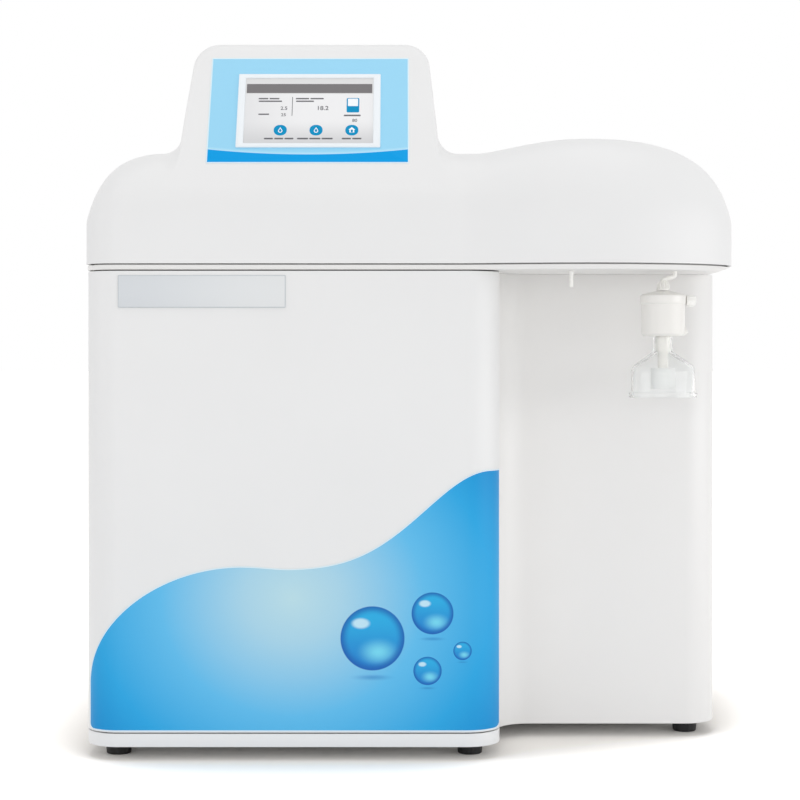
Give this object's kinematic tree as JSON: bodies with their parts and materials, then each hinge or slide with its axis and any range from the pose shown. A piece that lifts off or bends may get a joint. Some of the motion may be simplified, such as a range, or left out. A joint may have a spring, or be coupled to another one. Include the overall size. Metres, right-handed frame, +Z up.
{
  "type": "ultrapure water system",
  "caption": "Bench-top laboratory water purifier with a hinged front door, a tilted touch display, a dispensing bay and a hanging final filter with a clear bell.",
  "frame": {"origin": "on the bench, below the middle of the whole unit's box", "axes": "+X to the right seen from the front, +Y to the back, +Z up"},
  "size_m": [0.53, 0.418, 0.587],
  "materials": {
    "moulded_white": "satin white moulded plastic",
    "painted_sheet": "white powder coat",
    "blue_film": "printed blue film",
    "grey_plate": "plain pale grey plate",
    "steel": "bright zinc",
    "magnet": "dark magnet case",
    "rubber": "black rubber",
    "zinc_sheet": "grey coated sheet steel",
    "head_blue": "blue moulded plastic",
    "cartridge_white": "white moulded plastic",
    "cartridge_grey": "grey moulded plastic",
    "tube": "milky tubing",
    "stainless": "brushed stainless steel",
    "lamp_glass": "clear quartz",
    "black_plastic": "black moulded plastic",
    "pump": "dark painted pump body",
    "board": "green circuit board",
    "brass": "brass",
    "sensor_white": "white plastic",
    "label_blue": "printed pale blue film",
    "frame_white": "white frame",
    "screen": "lit screen under glass",
    "filter_white": "milky polypropylene",
    "bell_clear": "clear plastic"
  },
  "bodies": {
    "cabinet": {"top_cover": "moulded_white", "deck_plate": "moulded_white", "hinge_pins": "steel", "catch_magnets": "magnet", "left_panel": "painted_sheet", "right_panel": "painted_sheet", "back_panel": "painted_sheet", "base_tray": "moulded_white", "rubber_feet": "rubber", "foot_screws": "steel", "chassis_plate": "zinc_sheet", "rear_posts": "zinc_sheet", "head_shelf": "zinc_sheet", "shelf_screws": "steel", "sediment_head": "head_blue", "carbon_head": "head_blue", "polish_head_1": "head_blue", "polish_head_2": "head_blue", "link_tubes": "tube", "ro_housing": "cartridge_white", "ro_cap": "head_blue", "ro_clips": "black_plastic", "uv_chamber": "stainless", "uv_lamp": "lamp_glass", "uv_clips": "black_plastic", "booster_pump": "pump", "recirculation_pump": "pump", "power_supply": "stainless", "valve_block": "head_blue", "valve_coils": "black_plastic", "dispense_valves": "black_plastic", "resistivity_cell": "head_blue", "control_board": "board", "board_standoffs": "brass", "leak_sensor": "sensor_white", "pressure_tubes": "tube", "low_pressure_tubes": "tube", "product_tube": "tube", "rear_ports": "black_plastic", "power_inlet": "black_plastic", "switch_body": "black_plastic", "display_label": "label_blue", "screen_frame": "frame_white", "touch_screen": "screen", "display_board": "board", "outlet_spout": "filter_white", "pure_water_nozzle": "filter_white"},
    "door": {"front_door": "moulded_white", "door_film": "blue_film", "badge_plate": "grey_plate", "strike_plates": "steel"},
    "sediment": {"sediment_cartridge": "cartridge_white"},
    "carbon": {"carbon_cartridge": "cartridge_grey"},
    "polish_1": {"polish_cartridge_1": "cartridge_white"},
    "polish_2": {"polish_cartridge_2": "cartridge_white"},
    "filter": {"filter_capsule": "filter_white", "filter_bell": "bell_clear"},
    "collar": {"filter_collar": "filter_white"},
    "vent": {"vent_cap": "filter_white"},
    "rocker": {"power_rocker": "black_plastic"}
  },
  "joints": [
    {"name": "door_hinge", "type": "hinge", "parent": "cabinet", "child": "door", "pos_m": [-0.2545, -0.153, 0.2], "axis": [0, 0, -1], "range_deg": [0, 100]},
    {"name": "sediment_twist", "type": "hinge", "parent": "cabinet", "child": "sediment", "pos_m": [-0.21563, -0.095, 0.2], "axis": [0, 0, 1], "range_deg": [0, 60]},
    {"name": "carbon_twist", "type": "hinge", "parent": "cabinet", "child": "carbon", "pos_m": [-0.13487, -0.095, 0.2], "axis": [0, 0, 1], "range_deg": [0, 60]},
    {"name": "polish_1_twist", "type": "hinge", "parent": "cabinet", "child": "polish_1", "pos_m": [-0.05413, -0.095, 0.2], "axis": [0, 0, 1], "range_deg": [0, 60]},
    {"name": "polish_2_twist", "type": "hinge", "parent": "cabinet", "child": "polish_2", "pos_m": [0.02663, -0.095, 0.2], "axis": [0, 0, 1], "range_deg": [0, 60]},
    {"name": "filter_pull", "type": "slide", "parent": "cabinet", "child": "filter", "axis": [0, 0, -1], "range_m": [0, 0.02]},
    {"name": "collar_turn", "type": "hinge", "parent": "cabinet", "child": "collar", "pos_m": [0.2057, -0.157, 0.38], "axis": [0, 0, 1], "range_deg": [0, 180]},
    {"name": "vent_turn", "type": "hinge", "parent": "filter", "child": "vent", "pos_m": [0.228, -0.157, 0.369], "axis": [1, 0, 0], "range_deg": [0, 270]},
    {"name": "rocker_tilt", "type": "hinge", "parent": "cabinet", "child": "rocker", "pos_m": [-0.102, 0.191, 0.075], "axis": [-1, 0, 0], "range_deg": [0, 14]}
  ]
}
